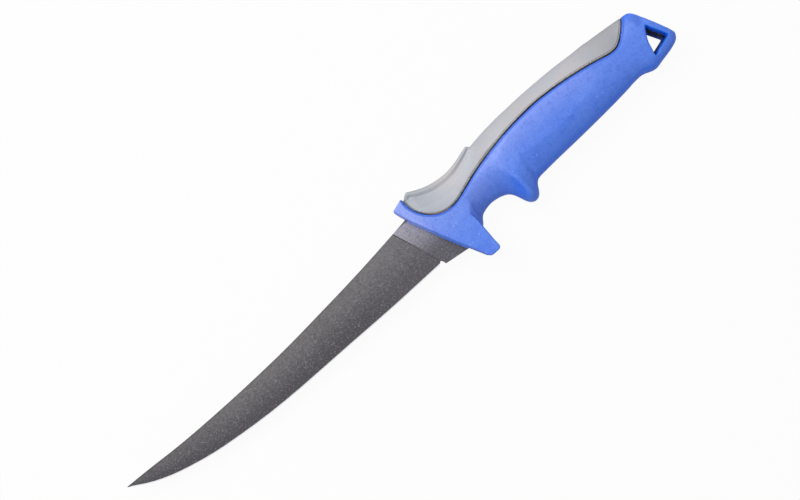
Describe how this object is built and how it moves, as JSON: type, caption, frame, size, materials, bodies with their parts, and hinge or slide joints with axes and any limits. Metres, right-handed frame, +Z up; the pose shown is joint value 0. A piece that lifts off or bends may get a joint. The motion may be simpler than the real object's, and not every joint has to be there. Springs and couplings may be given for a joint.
{
  "type": "fillet knife",
  "caption": "Fillet knife with a narrow upswept blade, a raked guard, a deep finger notch, a soft two-tone grip with a thumb rest and a lanyard hole in the butt.",
  "frame": {"origin": "on the lower flat side of the guard, 10 mm behind the middle of the guard's raked front, where the knife lies on its side", "axes": "+X along the handle towards the butt, +Y towards the spine, +Z up, square to the blade's flat sides"},
  "size_m": [0.3173, 0.046, 0.022],
  "materials": {
    "coated_steel": "matt dark grey coating, finely speckled, with a bright ground bevel along the edge",
    "core_plastic": "satin black moulded plastic",
    "grip_rubber": "matt blue soft moulding with a fine pebble grain",
    "saddle_rubber": "matt light grey soft moulding, nearly smooth"
  },
  "bodies": {
    "root": {"blade": "coated_steel", "handle_core": "core_plastic", "grip": "grip_rubber", "saddle": "saddle_rubber"}
  },
  "joints": []
}
